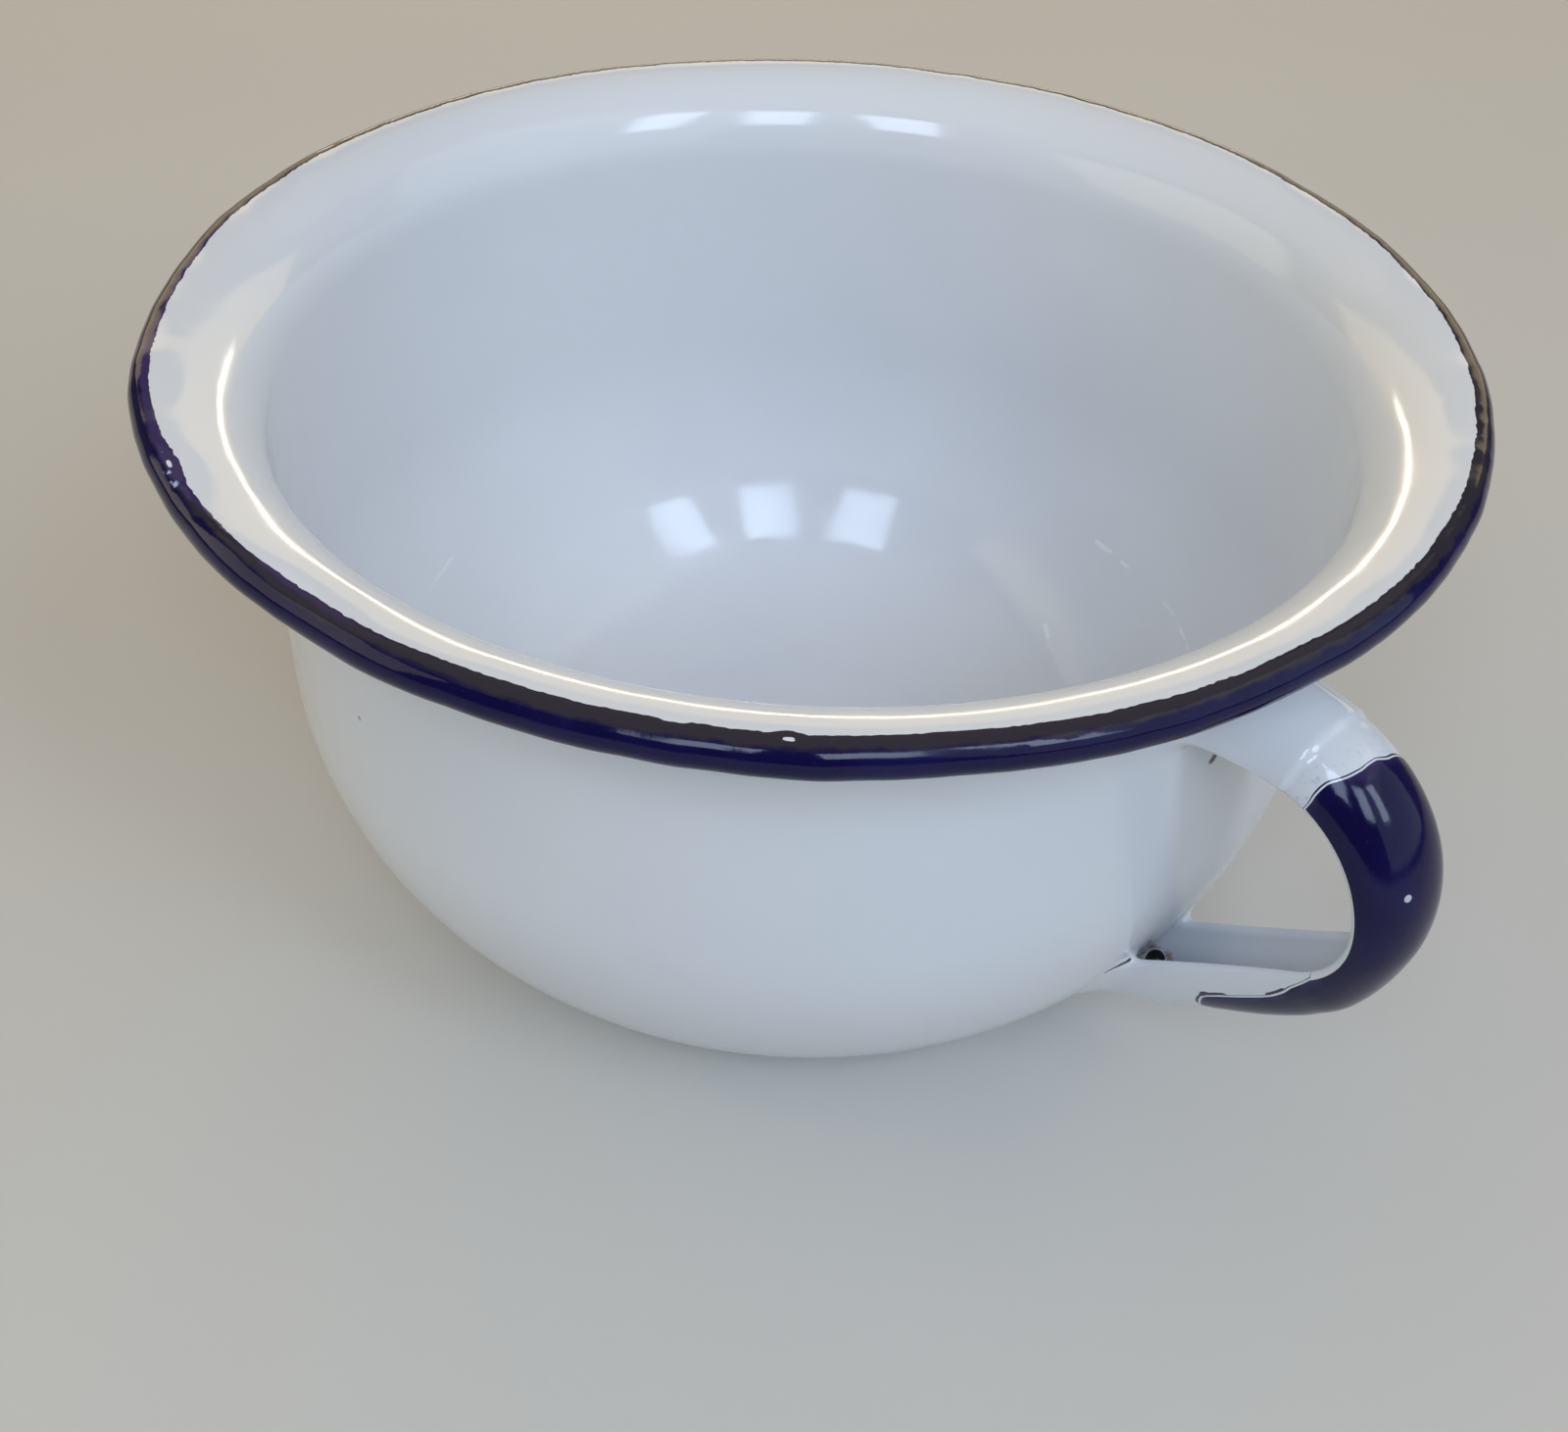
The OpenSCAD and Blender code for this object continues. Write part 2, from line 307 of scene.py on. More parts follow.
# %% The white finish
def white_finish(name, on_handle):
    finish = Finish(name)
    swell = finish.noise(finish.place, 9.0, 3.0)
    colour = finish.mix(finish.step(swell, 0.35, 0.7), WHITE, WHITE_DEEP)
    dark = specks(finish, 55.0, 0.030, 0.10) * 0.75
    colour = finish.mix(dark, colour, SPECK)
    broken = finish.noise(finish.place, 500.0, 3.0)
    for scratch in scratches:
        scuff = mark_mask(finish, *scratch) * finish.step(broken, 0.35, 0.6)
        colour = finish.mix(scuff * 0.6, colour, PALE)
    # Painted shadow laid into the slits beside the handle's ends.
    for painted_shadow in painted_shadows:
        colour = finish.mix(mark_mask(finish, *painted_shadow), colour, PAINTED_SHADE)
    if on_handle:
        colour = beside_the_blue(finish, colour)
    haze = finish.noise(finish.place, 60.0, 4.0, 0.6)
    return finish.surface({
        "Base Color": colour,
        "Roughness": finish.step(haze, 0.3, 0.75, 0.07, 0.17) + dark * 0.3,
        "Normal": swelling(finish, 0.10, 95.0, 420.0, 0.12),
        "IOR": 1.52,
    })


white_bowl = white_finish("white_enamel_bowl", False)
white_handle = white_finish("white_enamel_handle", True)

# %% [markdown]
# ## Blue enamel
#
# The blue on the bead and the grip is so dark that most of what we see of it is reflection. Close up
# it has tiny white specks, where grains of white enamel fell on it before firing, and a few scuffed
# patches. The dull brown on top of the bead is a painted reflection of the warm ceiling. Where it was
# brushed thin over the white, along a stretch of the bead's inner edge and at the start of the grip,
# it turns purple. The top of the bead is found from the height and from the distance to the pot's axis.

# %% The blue finish
NAVY = (0.0032, 0.0022, 0.042, 1.0)
NAVY_WORN = (0.007, 0.005, 0.060, 1.0)
PURPLE = (0.046, 0.029, 0.122, 1.0)
REFLECTED_CEILING = (0.030, 0.026, 0.034, 1.0)
GRAIN = (0.62, 0.64, 0.70, 1.0)
STAR = (0.05, 0.06, 0.22, 1.0)
SCUFF = (0.42, 0.52, 0.78, 1.0)
# Chips down to the white: the middle of each, and its radius, in millimetres.
chips = [((139.5, -4.5, 89.4), 0.75)]
# The middle of the stretch of the bead where the blue is thinnest.
thin_stretch = -44.0, -109.5, 125.0
# How much of the purple shows where the blue is thin.
thin_share = 0.8
# A patch of scuffed glass on the bead, as a mark like those above.
scuff_on_bead = (-28.2, -114.3, 125.5), (-21.4, -115.5, 125.4), 0.75


def bead_top(finish, colour):
    """Lays a painted reflection of the warm ceiling on top of the bead, in brown, and purple on its inner
    edge where the blue is thin.
    """
    rise = finish.node("ShaderNodeSeparateXYZ", None, {"Vector": finish.place}, "Z")
    flat = finish.vector("MULTIPLY", finish.place, (1.0, 1.0, 0.0))
    radius = finish.vector("LENGTH", flat, (0.0, 0.0, 0.0), "Value")
    frayed = radius + finish.noise(finish.place, 300.0, 3.0) * (1.6 * MM)
    on_top = finish.step(rise, (height - 3.0) * MM, (height - 1.5) * MM)
    # Painted reflection: brown on top of the bead for the warm ceiling that its gloss would mirror.
    painted_reflection = finish.step(frayed, (bead_x + 3.0) * MM, (bead_x + 2.2) * MM) * on_top
    colour = finish.mix(painted_reflection * 0.85, colour, REFLECTED_CEILING)
    off = finish.vector("DISTANCE", finish.place, Vector(thin_stretch) * MM, "Value")
    wider = finish.step(off, 36.0 * MM, 18.0 * MM) * (1.6 * MM)
    thin = finish.step(frayed - wider, (bead_x + 1.6) * MM, (bead_x + 0.9) * MM) * on_top
    thin = thin * finish.step(off, 90.0 * MM, 45.0 * MM)
    return finish.mix(thin * thin_share, colour, PURPLE)


def blue_finish():
    finish = Finish("fired_blue_enamel")
    wear = finish.noise(finish.place, 80.0, 4.0, 0.6)
    colour = finish.mix(finish.step(wear, 0.45, 0.8), NAVY, NAVY_WORN)
    colour = bead_top(finish, colour)
    gap = finish.node("ShaderNodeAttribute", {"attribute_name": "blue_gap"}, None, "Fac")
    brushed_thin = finish.step(gap + finish.noise(finish.place, 160.0, 3.0) * 7.0, 5.2, 2.6)
    brushed_thin = brushed_thin * finish.step(gap, 0.0, 0.05)
    colour = finish.mix(brushed_thin * thin_share, colour, PURPLE)
    stars = finish.step(finish.noise(finish.place, 2600.0, 2.0, 0.6), 0.66, 0.80)
    colour = finish.mix(stars * 0.55, colour, STAR)
    grains = specks(finish, 210.0, 0.045, 0.10)
    for middle, size in chips:
        off = finish.vector("DISTANCE", finish.place, Vector(middle) * MM, "Value")
        grains = grains + finish.step(off, size * 0.75 * MM, size * MM, 1.0, 0.0)
    colour = finish.mix(grains * 0.8, colour, GRAIN)
    broken = finish.step(finish.noise(finish.place, 800.0, 2.0), 0.48, 0.56)
    colour = finish.mix(mark_mask(finish, *scuff_on_bead) * broken, colour, SCUFF)
    return finish.surface({
        "Base Color": colour,
        "Roughness": finish.step(wear, 0.3, 0.8, 0.07, 0.18) + grains * 0.3,
        "Normal": swelling(finish, 0.15, 110.0, 700.0, 0.15),
        "IOR": 1.46,
        "Specular IOR Level": 0.34,
    })


blue_enamel = blue_finish()

# %% [markdown]
# ## Bare steel and weld metal
#
# The steel shows only in the drain hole. The firing has left a dark scale on it, and rust has started
# in that. The welds hold the handle to the bowl and are covered by the enamel. Both get a dull metal
# finish with rust, so a cut view of the pot shows what is inside.

# %% The metal finishes
RUST = (0.075, 0.034, 0.014, 1.0)
STEEL_SCALE = (0.075, 0.072, 0.07, 1.0)
WELD_GREY = (0.16, 0.155, 0.15, 1.0)


def metal_finish(name, bright, rough):
    finish = Finish(name)
    patch = finish.noise(finish.place, 130.0, 5.0, 0.65)
    rusted = finish.step(patch, 0.46, 0.62)
    grain = finish.noise(finish.place, 900.0, 2.0)
    bump = {"Strength": 0.2, "Distance": 0.3 * MM, "Height": grain}
    return finish.surface({
        "Base Color": finish.mix(rusted, bright, RUST),
        "Metallic": 1.0 - rusted,
        "Roughness": rough + rusted * 0.35,
        "Normal": finish.node("ShaderNodeBump", None, bump),
    })


bare_steel = metal_finish("bare_rusted_steel", STEEL_SCALE, 0.5)
weld_metal = metal_finish("weld_bead_metal", WELD_GREY, 0.5)

# %% [markdown]
# ## Turning the bowl
#
# Every layer of the bowl is a shape of revolution, so one Geometry Nodes tree makes them all. It
# takes a section, drawn as a line of points, and swings it round the axis. A perfect lathe shape
# would look new, so the tree also bends the lip: each knock is a soft bump at its own angle, and a
# slow noise makes the rest of the rim waver. All layers share these bumps, so they stay nested.

# %% Knocks in the rim
# Each knock: its angle round the rim and its width in degrees, then how far out and up it goes, in mm.
knocks = [
    (-107.0, 14.0, 1.0, -0.2),
    (-117.0, 3.6, 0.3, 0.15),
    (-104.0, 2.6, -0.3, 0.1),
    (-98.0, 3.2, -0.25, -0.35),
    (-89.0, 3.2, 0.25, 0.3),
    (-80.0, 3.4, -0.45, -0.4),
    (-71.0, 4.0, 0.3, 0.25),
    (-58.0, 5.0, -0.25, -0.15),
    (70.0, 9.0, -0.3, 0.2),
    (150.0, 12.0, 0.3, -0.2),
]
# Dabs of blue that ran in past the edge: the angle and width in degrees, and the length in mm.
dabs = [(-44.5, 0.6, 0.9), (-103.8, 1.6, 0.6), (-52.0, 0.8, -0.35)]
# Between these radii the lip goes from true to fully knocked.
knock_from = body_r + 5.0
knock_to = bead_x + 1.0
print(len(knocks), "knocks in the rim and", len(dabs), "dabs of blue")


def round_bump(turn, angle, width):
    """1 at an angle round the axis, falling softly to 0 over a width, both in degrees."""
    away = turn - math.radians(angle)
    fall = (away.math("COSINE", away) - 1.0) * (1.0 / math.radians(width) ** 2)
    return fall.math("EXPONENT", fall)


def knock_fields(nodes, turn, radius):
    """How far the knocks and the waver of the rim move a point outwards and upwards."""
    out = up = 0.0
    for angle, width, outwards, upwards in knocks:
        bump = round_bump(turn, angle, width)
        out = bump * (outwards * MM) + out
        up = bump * (upwards * MM) + up
    around = {"X": turn.math("COSINE", turn), "Y": turn.math("SINE", turn)}
    ring = nodes.node("ShaderNodeCombineXYZ", None, around)
    out = (nodes.noise(ring, 5.0) - 0.5) * (1.1 * MM) + out
    up = (nodes.noise(ring, 6.5) - 0.5) * (0.9 * MM) + up
    lip = nodes.step(radius, knock_from * MM, knock_to * MM)
    return out * lip, up * lip, ring


# %% The tree that turns a section
def turned_tree():
    tree = bpy.data.node_groups.new("turned_shell", "GeometryNodeTree")
    tree.is_modifier = True
    tree.interface.new_socket("Geometry", in_out="OUTPUT", socket_type="NodeSocketGeometry")
    inputs = {"Section": "Geometry", "Segments": "Int", "Ragged edge": "Float", "Finish": "Material"}
    for label, kind in inputs.items():
        tree.interface.new_socket(label, in_out="INPUT", socket_type="NodeSocket" + kind)
    nodes = Nodes(tree)
    given = nodes.node("NodeGroupInput", out="Section")
    segments = given.out("Segments")
    whole = {"component": "MESH"}
    count = nodes.node("GeometryNodeAttributeDomainSize", whole, {"Geometry": given}, "Point Count")
    counts = {"Vertices X": segments + 1, "Vertices Y": count}
    grid = nodes.node("GeometryNodeMeshGrid", None, counts, "Mesh")
    index = nodes.node("GeometryNodeInputIndex")
    along = index % count
    turn = (index - along) / count * (2 * math.pi) / segments
    point = nodes.node(
        "GeometryNodeSampleIndex",
        {"data_type": "FLOAT_VECTOR"},
        {"Geometry": given, "Value": nodes.node("GeometryNodeInputPosition"), "Index": along},
    )
    radius = nodes.node("ShaderNodeSeparateXYZ", None, {"Vector": point}, "X")
    level = radius.out("Z")
    out, up, ring = knock_fields(nodes, turn, radius)
    fray = (nodes.noise(ring, 26.0) - 0.5) * 1.5 + (nodes.noise(ring, 110.0, 1.0) - 0.5) * 1.4
    for angle, width, length in dabs:
        fray = fray - round_bump(turn, angle, width) * (length * 2)
    loose = nodes.step(radius, (bead_x + 1.4) * MM, (bead_x + 0.2) * MM) * given.out("Ragged edge")
    reach = radius + out + fray * loose
    place = nodes.node(
        "ShaderNodeCombineXYZ",
        None,
        {"X": reach * turn.math("COSINE", turn), "Y": reach * turn.math("SINE", turn), "Z": level + up},
    )
    shape = nodes.node("GeometryNodeSetPosition", None, {"Geometry": grid, "Position": place})
    shape = nodes.node("GeometryNodeMergeByDistance", None, {"Geometry": shape, "Distance": 0.5e-6})
    shape = nodes.node("GeometryNodeSetShadeSmooth", None, {0: shape})
    shape = nodes.node("GeometryNodeRealizeInstances", None, {0: shape})
    painted = {"Geometry": shape, "Material": given.out("Finish")}
    shape = nodes.node("GeometryNodeSetMaterial", None, painted)
    nodes.node("NodeGroupOutput", None, {"Geometry": shape})
    return tree


turned_shell = turned_tree()
print("turned_shell has", len(turned_shell.nodes), "nodes")

# %% Making a piece whole
# Edges that bend more than this stay crisp.
crisp_angle = math.radians(40.0)


def enclosed(mesh):
    """The volume inside a closed mesh, in mm3: below zero if its faces point inwards."""
    mesh.calc_loop_triangles()
    corners = np.empty(len(mesh.vertices) * 3)
    mesh.vertices.foreach_get("co", corners)
    corners = corners.reshape(-1, 3) / MM
    faces = np.empty(len(mesh.loop_triangles) * 3, int)
    mesh.loop_triangles.foreach_get("vertices", faces)
    a, b, c = (corners[faces.reshape(-1, 3)[:, i]] for i in range(3))
    return float(np.einsum("ij,ij->i", a, np.cross(b, c)).sum() / 6)


def open_edges(mesh):
    """How many edges don't have exactly two faces."""
    uses = np.zeros(len(mesh.edges), int)
    links = np.empty(len(mesh.loops), int)
    mesh.loops.foreach_get("edge_index", links)
    np.add.at(uses, links, 1)
    return int((uses != 2).sum())


def hand_over(piece, node):
    """Turns the faces outwards, keeps crisp edges crisp and puts the piece in place of a CAD node."""
    if enclosed(piece.data) < 0:
        piece.data.flip_normals()
    piece.data.set_sharp_from_angle(angle=crisp_angle)
    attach(piece, "root")
    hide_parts(node)
    triangles, volume = len(piece.data.loop_triangles), enclosed(piece.data)
    print(f"{piece.name}: {triangles} triangles, {volume:.0f} mm3, {open_edges(piece.data)} open edges")


def turned_piece(name, section, finish, node, segments=288, ragged=0.0, place=None):
    """Turns a section into a solid. A place moves it off the pot's axis."""
    line = bpy.data.meshes.new(name + "_section")
    points = [(r * MM, 0.0, z * MM) for r, z in section]
    line.from_pydata(points, [(i, i + 1) for i in range(len(points) - 1)], [])
    piece = bpy.data.objects.new(name, line)
    bpy.context.scene.collection.objects.link(piece)
    turning = piece.modifiers.new("turning", "NODES")
    turning.node_group = turned_shell
    given = {"Segments": segments, "Ragged edge": ragged, "Finish": finish}
    for socket in turned_shell.interface.items_tree:
        if socket.name in given:
            turning[socket.identifier] = given[socket.name]
    graph = bpy.context.evaluated_depsgraph_get()
    solid = bpy.data.meshes.new_from_object(piece.evaluated_get(graph), depsgraph=graph)
    piece.modifiers.remove(turning)
    piece.data = solid
    solid.name = name
    if place:
        solid.transform(place)
    bpy.data.meshes.remove(line)
    hand_over(piece, node)


# %% [markdown]
# ## The layers of the bowl
#
# One function draws the bowl's section at any depth below its outer face, and a layer is what lies
# between two such lines. The white inside runs on a little way under the blue, as it does on the real
# pot, where the bead was painted last. The blue stands a hair proud of the white, and its inner edge
# is ragged.

# %% Sections
def arc(centre, radius, start, end, count):
    turn = np.radians(np.linspace(start, end, count))
    return np.column_stack([centre[0] + radius * np.cos(turn), centre[1] + radius * np.sin(turn)])


def bead_arc(depth, start, end, count):
    return arc((bead_x, bead_z), bead_r - depth, start, end, count)


def outline(depth):
    """The bowl's section at a depth below its outer face, from the middle of the base to the bead."""
    floor = np.column_stack([np.linspace(0.0, base_r, 12), np.full(12, depth)])
    wall = np.column_stack([np.full(8, body_r - depth), np.linspace(belly_z, lip_z, 8)])
    return np.vstack([
        floor[:-1],
        arc((base_r, edge_r), edge_r - depth, -90.0, belly_end, 10)[:-1],
        arc((belly_x, belly_z), belly_r - depth, belly_end, 0.0, 24)[:-1],
        wall[:-1],
        arc((lip_x, lip_z), lip_r + depth, 180.0, 90.0, 22),
        [(bead_x, lip_z + lip_r + depth)],
    ])


# %% Layers
# The angle on the bead, in degrees, to which the white runs on under the blue. Then how far the blue
# stands proud of the white, and the radius at which it begins, in millimetres.
under_blue = 65.0
proud = 0.06
blue_from = bead_x - 0.5
skirt = outline(0.0)[:, 0] >= base_r - 1e-6

steel_line = np.vstack([
    outline(coat),
    bead_arc(coat + sheet, 90.0, roll_end, 26)[1:],
    bead_arc(coat, roll_end, 90.0, 30),
    outline(coat + sheet)[-2::-1],
])
inside_line = np.vstack([
    outline(coat + sheet),
    bead_arc(coat, 90.0, under_blue, 6)[1:],
    bead_arc(0.0, under_blue, 90.0, 6),
    outline(wall_t)[-2::-1],
])
outside_line = np.vstack([outline(0.0)[skirt], outline(coat)[skirt][::-1]])
outside_line = np.vstack([outside_line, outside_line[:1]])
base_steps = np.linspace(0.0, base_r, 3)
base_line = np.vstack([[(r, 0.0) for r in base_steps], [(r, coat) for r in base_steps[::-1]]])
rim_line = np.vstack([
    [(blue_from, height), (blue_from + 0.03, height + proud * 0.7), (blue_from + 0.2, height + proud)],
    bead_arc(-proud, 90.0, roll_end, 40),
    bead_arc(coat, roll_end, under_blue, 26),
    bead_arc(0.0, under_blue, 90.0, 6),
    [(blue_from, height)],
])

turned_piece("bowl_sheet", steel_line, bare_steel, "bowl_steel")
turned_piece("inside_coat", inside_line, white_bowl, "inside_enamel")
turned_piece("outside_coat", outside_line, white_bowl, "outside_enamel")
turned_piece("base_coat", base_line, white_bowl, "base_enamel")
turned_piece("rim_coat", rim_line, blue_enamel, "rim_enamel", segments=960, ragged=0.5 * MM)

# %% [markdown]
# ## The handle's path and section
#
# The handle is a steel strap bent to a trough, with its open side towards the bowl. It leaves the
# wall level, bends round a loop for the fingers and comes back down to the belly. Its section isn't
# the same all along: it is broad and deep at the top, slim round the grip and broad again at the
# foot. So the mesh is worked out point by point from the distance along the path and the angle round
# the section, which also lets the edge of the blue wander as brushed enamel does.

# %% The path
# The loop's middle, its radius, how much it swells outwards and the angle where it ends, in mm and degrees.
loop_x = body_r + 12.8
arm_z = height - 26.4
loop_r = 20.7
loop_swell = 0.95
loop_z = arm_z - loop_r
loop_end = math.radians(-53.0)
loop_length = loop_r * (math.pi / 2 - loop_end)


def path(s):
    """The middle between the strap's edges at a distance from the loop's start, and where its back faces."""
    s = np.asarray(s, float)
    turn = np.clip(math.pi / 2 - s / loop_r, loop_end, math.pi / 2)
    radius = loop_r + loop_swell * np.cos(turn) ** 2
    facing = np.stack([np.cos(turn), np.zeros_like(turn), np.sin(turn)], -1)
    onward = np.stack([np.sin(turn), np.zeros_like(turn), -np.cos(turn)], -1)
    straight = s - np.clip(s, 0.0, loop_length)
    centre = np.array([loop_x, 0.0, loop_z])
    return centre + facing * radius[..., None] + onward * straight[..., None], facing


# %% The section
strap_t = 1.7
# Rows of: distance along the path, half the strap's width there, its depth there.
strap_sizes = np.array([
    (-14, 13.2, 11.0),
    (-8, 11.3, 9.7),
    (0, 10.2, 9.3),
    (12, 9.7, 8.7),
    (28, 9.8, 6.4),
    (42, 8.3, 6.4),
    (52, 7.5, 10.3),
    (60, 7.4, 11.4),
    (67, 7.4, 11.7),
    (74, 7.6, 11.4),
    (82, 7.9, 11.0),
    (92, 8.5, 11.2),
    (104, 9.0, 8.6),
    (116, 9.4, 3.4),
])
# Each bend between rows is eased over these distances.
easing = np.linspace(-5.0, 5.0, 11)
# The step on the upper arm: where it is, how high, and how long its slope.
ridge_s, ridge_step, ridge_slope = 3.4, 0.4, 0.9


def eased(s, column):
    """Half width (column 1) or depth (column 2) along the path, with a soft bend at each row."""
    table = strap_sizes[:, 0], strap_sizes[:, column]
    return sum(np.interp(np.asarray(s) + shift, *table) for shift in easing) / len(easing)


def lap(s):
    """The saddle of the upper arm ends in a low step on the strap."""
    return ridge_step * (1 - np.clip((s - ridge_s) / ridge_slope, 0, 1))


def strap_point(s, angle, share, inset):
    """A point of the strap: share 0 is its back, 1 its hollow side. Inset is a depth below both."""
    middle, facing = path(s)
    step = lap(s) * (1 - share)
    half, deep = eased(s, 1) + step, eased(s, 2) + step
    lost = inset + share * (strap_t - 2 * inset)
    rounded = np.sin(np.pi * share) * (strap_t / 2 - inset)
    side = (half - lost) * np.cos(angle)
    back = (deep - lost) * np.sin(angle) - rounded
    point = middle + facing * back[..., None]
    point[..., 1] += side
    return point


# How many points of the section lie on the back, over each edge and in the hollow.
back_count, edge_count, hollow_count = 91, 7, 41
back_angle = np.linspace(0, np.pi, back_count)
section_angle = np.concatenate([
    back_angle,
    np.full(edge_count - 2, np.pi),
    np.linspace(np.pi, 0, hollow_count),
    np.zeros(edge_count - 2),
])
edge_share = np.linspace(0, 1, edge_count)[1:-1]
section_share = np.concatenate([np.zeros(back_count), edge_share, np.ones(hollow_count), edge_share[::-1]])
print(f"loop {loop_length:.1f} mm long, section of {len(section_angle)} points")

# %% [markdown]
# ## Landing on the bowl
#
# Both ends of the strap meet the bowl, whose face is curved, and spread out on it in a soft flare.
# Every point of the section is followed along the strap until it meets the face, found by halving the
# step again and again. A curve then bends from the strap to the face, as the real flange does. That
# way no gap and no hard seam is left, whatever the slope of the wall there.

# %% The bowl's outer face
def face_gap(point):
    """How far points stand off the bowl's outer face, and the way that the face looks there."""
    radius = np.hypot(point[..., 0], point[..., 1])
    level = point[..., 2]
    on_lip, on_belly = level > lip_z, level < belly_z
    centre_r = np.where(on_lip, lip_x, np.where(on_belly, belly_x, radius - 1.0))
    centre_z = np.where(on_lip, lip_z, np.where(on_belly, belly_z, level))
    away_r, away_z = radius - centre_r, level - centre_z
    reach = np.hypot(away_r, away_z)
    gap = np.where(on_lip, lip_r - reach, np.where(on_belly, reach - belly_r, radius - body_r))
    sign = np.where(on_lip, -1.0, 1.0)
    look_r, look_z = sign * away_r / reach, sign * away_z / reach
    look = np.stack([look_r * point[..., 0] / radius, look_r * point[..., 1] / radius, look_z], -1)
    return gap, look


def meet_face(s_from, s_to, inset):
    """Where each point of the section meets the bowl, as a distance along the path."""
    near = np.full(len(section_angle), s_from)
    far = np.full(len(section_angle), s_to)
    for _ in range(40):
        middle = (near + far) / 2
        outside = face_gap(strap_point(middle, section_angle, section_share, inset))[0] > 0
        near, far = np.where(outside, middle, near), np.where(outside, far, middle)
    return near


# %% Rows of points down the strap
# The flares' lengths in mm, the share by which a flare is shorter in the hollow, its rows, and how deep its
# end is sunk in the bowl's coat.
top_flare, foot_flare = 4.5, 6.8
hollow_less = 0.55
flare_rows = 12
sunk = 0.006


def landing(s_from, s_to, inset, flare):
    """Where each point's flare starts, as a distance along the path, and the flare's rows of points."""
    s = meet_face(s_from, s_to, inset)
    size = flare * (1.0 - hollow_less * section_share)
    flare_s = s - np.sign(s_to - s_from) * size
    land = strap_point(s, section_angle, section_share, inset)
    begin = strap_point(flare_s, section_angle, section_share, inset)
    look = face_gap(land)[1]
    facing = path(s)[1]
    from_back = facing * np.sin(section_angle)[:, None] / eased(s, 2)[:, None]
    from_back[:, 1] = np.cos(section_angle) / eased(s, 1)
    from_back = from_back / np.linalg.norm(from_back, axis=1)[:, None]
    turn = np.pi * section_share[:, None]
    spread = np.cos(turn) * from_back - np.sin(turn) * facing
    spread = spread - np.einsum("ij,ij->i", spread, look)[:, None] * look
    spread = spread / np.linalg.norm(spread, axis=1)[:, None]
    lift = face_gap(begin)[0]
    end = land + size[:, None] * spread
    rows = []
    for u in np.sin(np.linspace(0, np.pi / 2, flare_rows)):
        row = (1 - u) ** 2 * begin + 2 * u * (1 - u) * land + u**2 * end
        gap, face = face_gap(row)
        wanted = lift * (1 - u) ** 2 - (sunk + inset) * u**2
        rows.append(row + (wanted - gap)[:, None] * face)
    return flare_s, np.array(rows)


def strap_rows(s_from, s_to, count, inset):
    """Rows of section points between two path distances, which may differ round the section."""
    share = np.linspace(0, 1, count)[:, None]
    s = s_from + (s_to - s_from) * share
    s = np.broadcast_to(s, (count, len(section_angle)))
    angle = np.broadcast_to(section_angle, s.shape)
    return strap_point(s, angle, np.broadcast_to(section_share, s.shape), inset)


# %% [markdown]
# ## Coats of the handle
#
# The steel strap carries white enamel all over, and the grip's blue lies on its back only. In the
# hollow of the strap the white stays bare, which shows as a thin pale line along the strap's edge.
# Each coat is a closed shell: an outer skin, an inner skin and strips that join them at the ends.

# %% Where the blue begins and ends
# The blue starts and stops at these distances along the path, for angles round the section in degrees.
start_at = np.array([
    (0, 10.0), (30, 10.6), (48, 10.4), (79, 9.5), (92, 8.8),
    (110, 9.0), (125, 8.5), (142, 7.9), (160, 7.8), (180, 8.4),
])
stop_at = np.array([
    (0, 34), (6, 38), (12, 45), (24, 54), (36, 64), (50, 71), (72, 75), (92, 77), (112, 77),
    (128, 77), (138, 75.8), (147, 74), (150, 71), (151.5, 66), (154, 58.5), (161, 54), (170, 51),
    (176, 48), (180, 45.7),
])
# The edge's small waves: how high, and how many in a full turn.
wave_high, waves_round = 0.12, 9.0


def brushed(angle, table, seed):
    """A wandering edge: the table's value, with a few small waves."""
    turn = np.degrees(angle)
    edge = sum(np.interp(turn + shift, table[:, 0], table[:, 1]) for shift in (-2, -1, 0, 1, 2)) / 5
    return edge + wave_high * np.sin(waves_round * angle + seed)


def grip_start(angle):
    return brushed(angle, start_at, 0.6)


def grip_stop(angle):
    return brushed(angle, stop_at, 2.2)


# %% Building closed skins
def skin_mesh(name, rows_out, rows_in, finish, around, values=None):
    """A closed shell between two grids of points, in mm. Around says that each row is a ring."""
    rows, ring = rows_out.shape[:2]
    points = np.concatenate([rows_out.reshape(-1, 3), rows_in.reshape(-1, 3)]) * MM
    inner = rows * ring
    faces = []
    last = ring if around else ring - 1
    for i in range(rows - 1):
        for j in range(last):
            a, b = i * ring + j, i * ring + (j + 1) % ring
            c, d = b + ring, a + ring
            faces.append((a, b, c, d))
            faces.append((inner + d, inner + c, inner + b, inner + a))
    for i, flip in ((0, False), (rows - 1, True)):
        for j in range(last):
            a, b = i * ring + j, i * ring + (j + 1) % ring
            strip = (b, a, inner + a, inner + b)
            faces.append(strip[::-1] if flip else strip)
    if not around:
        for j, flip in ((0, False), (ring - 1, True)):
            for i in range(rows - 1):
                a, b = i * ring + j, (i + 1) * ring + j
                strip = (a, b, inner + b, inner + a)
                faces.append(strip[::-1] if flip else strip)
    mesh = bpy.data.meshes.new(name)
    mesh.from_pydata(points.tolist(), [], faces)
    mesh.materials.append(finish)
    mesh.shade_smooth()
    for label, grid in (values or {}).items():
        layer = mesh.attributes.new(label, "FLOAT", "POINT")
        layer.data.foreach_set("value", np.tile(grid.reshape(-1), 2).astype(np.float32))
    piece = bpy.data.objects.new(name, mesh)
    bpy.context.scene.collection.objects.link(piece)
    return piece


# %% Skins from end to end
# Where along the path each end is sure to meet the bowl, then the rows of points on each stretch.
top_span = 0.0, -40.0
foot_span = loop_length + 20.0, loop_length + 75.0
arm_rows, grip_rows, tail_rows = 44, 49, 44
blue_row = flare_rows - 2 + arm_rows


